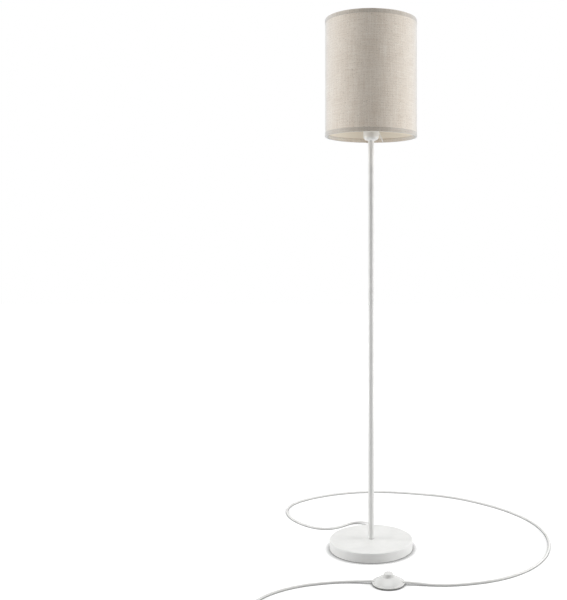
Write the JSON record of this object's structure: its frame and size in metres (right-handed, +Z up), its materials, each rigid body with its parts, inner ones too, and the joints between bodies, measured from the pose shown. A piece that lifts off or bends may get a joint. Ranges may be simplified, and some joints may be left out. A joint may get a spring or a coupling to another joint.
{
  "type": "floor lamp",
  "caption": "Column floor lamp: linen drum shade on a slim white tube with a round weighted base, and a lead with a foot switch and plug.",
  "frame": {"origin": "on the floor under the middle of the round base", "axes": "+Z up along the column, +Y to the back where the lead leaves the base, +X to the right seen from the front"},
  "size_m": [0.7769, 0.9686, 1.4325],
  "materials": {
    "white_powder_coat": "white powder coat, fine satin",
    "cast_concrete": "cast concrete, rough",
    "black_foam_rubber": "closed-cell foam rubber, matt",
    "zinc_plated_steel": "bright zinc plate",
    "white_pvc": "soft PVC, satin",
    "white_moulded_plastic": "moulded thermoplastic, semi-gloss",
    "white_matt_plastic": "glass-filled plastic, matt",
    "steatite": "unglazed steatite",
    "brass": "rolled brass",
    "nickel_plated_brass": "nickel plate, satin",
    "black_glass": "black insulating glass",
    "opal_plastic": "opal diffuser, satin",
    "aluminium_board": "white-coated aluminium board",
    "linen_cloth": "slubbed linen weave",
    "shade_lining": "translucent lining film",
    "white_coated_wire": "white coated steel wire",
    "core_insulation": "coloured core insulation",
    "grey_pin_sleeve": "moulded pin sleeve",
    "tie_strap": "woven hook-and-loop strap"
  },
  "bodies": {
    "stand": {"base_pad": "black_foam_rubber", "base_cover": "white_powder_coat", "base_weight": "cast_concrete", "base_washer": "zinc_plated_steel", "base_nut": "zinc_plated_steel", "base_nipple": "zinc_plated_steel", "base_strain_relief": "white_pvc", "column_gasket": "black_foam_rubber", "column_lower": "white_powder_coat", "column_middle": "white_powder_coat", "column_upper": "white_powder_coat", "column_bushes": "zinc_plated_steel", "joint_nipples": "zinc_plated_steel", "cup_nipple": "zinc_plated_steel", "holder_cup": "white_powder_coat", "cup_washer": "zinc_plated_steel", "cup_nut": "zinc_plated_steel", "holder_cap": "white_matt_plastic", "holder_core": "steatite", "holder_shell": "white_matt_plastic", "terminal_screws": "brass", "holder_cores": "core_insulation", "thread_shell": "brass", "centre_contact": "brass", "shade_ring": "white_matt_plastic", "lamp_tip": "nickel_plated_brass", "lamp_insulator": "black_glass", "lamp_cap": "nickel_plated_brass", "lamp_housing": "white_moulded_plastic", "lamp_board": "aluminium_board", "lamp_globe": "opal_plastic", "inner_cable": "white_pvc", "lead_cord": "white_pvc", "switch_pad": "black_foam_rubber", "switch_base": "white_matt_plastic", "switch_cover": "white_moulded_plastic", "button_spring": "zinc_plated_steel", "switch_contacts": "brass", "cord_clamps": "white_matt_plastic", "clamp_screws": "zinc_plated_steel", "case_screws": "zinc_plated_steel", "tail_cord": "white_pvc", "cord_coil": "white_pvc", "cord_tie": "tie_strap", "plug_cord": "white_pvc", "plug_body": "white_pvc", "plug_pins": "nickel_plated_brass", "pin_sleeves": "grey_pin_sleeve"},
    "shade": {"shade_cloth": "linen_cloth", "shade_film": "shade_lining", "shade_top_ring": "white_coated_wire", "shade_bottom_ring": "white_coated_wire", "shade_carrier": "white_coated_wire"},
    "button": {"foot_button": "white_moulded_plastic"}
  },
  "joints": [
    {"name": "button_press", "type": "slide", "parent": "stand", "child": "button", "axis": [0, 0, -1], "range_m": [0, 0.0035], "stiffness_N_per_m": 2500, "springref_m": -0.002, "deforming": ["button_spring"]},
    {"name": "shade_turn", "type": "hinge", "parent": "stand", "child": "shade", "pos_m": [0, 0, 1.164], "axis": [0, 0, 1], "continuous": true}
  ]
}
